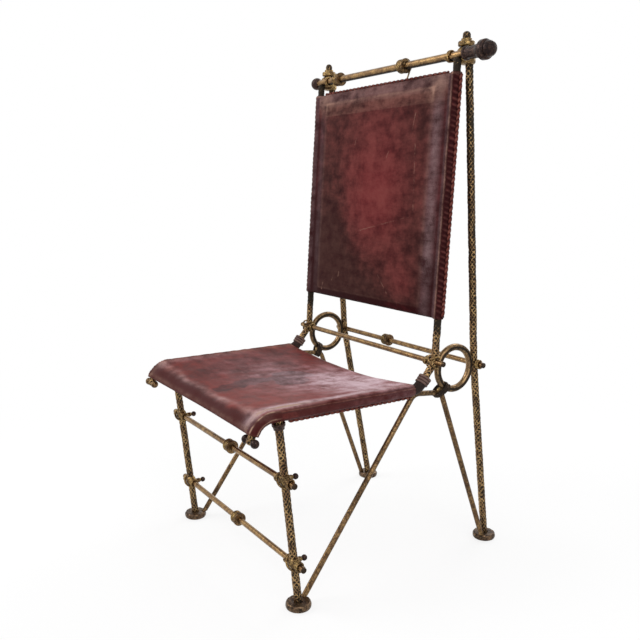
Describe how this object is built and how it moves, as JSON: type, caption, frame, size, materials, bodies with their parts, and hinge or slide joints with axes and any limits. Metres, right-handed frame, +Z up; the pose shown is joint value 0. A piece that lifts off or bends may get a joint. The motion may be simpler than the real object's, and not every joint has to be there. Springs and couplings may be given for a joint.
{
  "type": "high-back side chair",
  "caption": "Rigid high-back side chair of hammered iron bar with wire-lashed joints, a slung leather seat and a padded leather back laced over the uprights.",
  "frame": {"origin": "floor level, at the middle of the footprint of the whole chair", "axes": "+Z up, the seat opens towards -Y, +X is the sitter's left"},
  "size_m": [0.676, 0.7059, 1.2],
  "materials": {
    "hammered_iron": "hammered, rubbed gold",
    "gilt_bar": "antique gold",
    "gilt_wire": "antique gold",
    "dark_bronze": "dark bronze",
    "oxblood_leather": "worn, waxed",
    "leather_thong": "worn"
  },
  "bodies": {
    "root": {"back_hook": "gilt_wire", "back_lacing_left": "leather_thong", "back_lacing_right": "leather_thong", "back_lacing_top": "leather_thong", "brace_left": "gilt_bar", "brace_right": "gilt_bar", "brace_ties": "gilt_wire", "elbow_lashings": "gilt_wire", "finial_left": "hammered_iron", "finial_right": "hammered_iron", "foot_front_left": "hammered_iron", "foot_front_right": "hammered_iron", "foot_rear_left": "hammered_iron", "foot_rear_right": "hammered_iron", "front_leg_left": "hammered_iron", "front_leg_right": "hammered_iron", "leather_back": "oxblood_leather", "leather_seat": "oxblood_leather", "leg_collar_left": "dark_bronze", "leg_collar_right": "dark_bronze", "lower_stretcher": "gilt_bar", "lower_stretcher_collar": "gilt_bar", "nose_peg_left": "dark_bronze", "nose_peg_right": "dark_bronze", "peg_lower_left": "dark_bronze", "peg_lower_right": "dark_bronze", "peg_upper_left": "dark_bronze", "peg_upper_right": "dark_bronze", "post_collar_left": "dark_bronze", "post_collar_right": "dark_bronze", "rail_wrap_left": "oxblood_leather", "rail_wrap_right": "oxblood_leather", "rear_post_left": "hammered_iron", "rear_post_right": "hammered_iron", "seat_lacing_left": "leather_thong", "seat_lacing_right": "leather_thong", "side_rail_left": "hammered_iron", "side_rail_right": "hammered_iron", "side_ring_left": "gilt_bar", "side_ring_right": "gilt_bar", "stretcher_lashings": "gilt_wire", "stretcher_windings": "gilt_wire", "top_ball_right": "dark_bronze", "top_bar": "gilt_bar", "top_bar_collar_left": "gilt_bar", "top_bar_collar_right": "gilt_bar", "top_bar_windings": "gilt_wire", "top_knob_left": "dark_bronze", "top_knuckle_left": "gilt_bar", "top_knuckle_right": "gilt_bar", "top_lashings": "gilt_wire", "upper_stretcher": "gilt_bar", "upper_stretcher_collar": "gilt_bar", "waist_rail_coils": "gilt_wire", "waist_rail_collar": "gilt_bar", "waist_rail_front": "gilt_bar", "waist_rail_rear": "gilt_bar", "waist_rail_winding": "gilt_wire"}
  },
  "joints": []
}
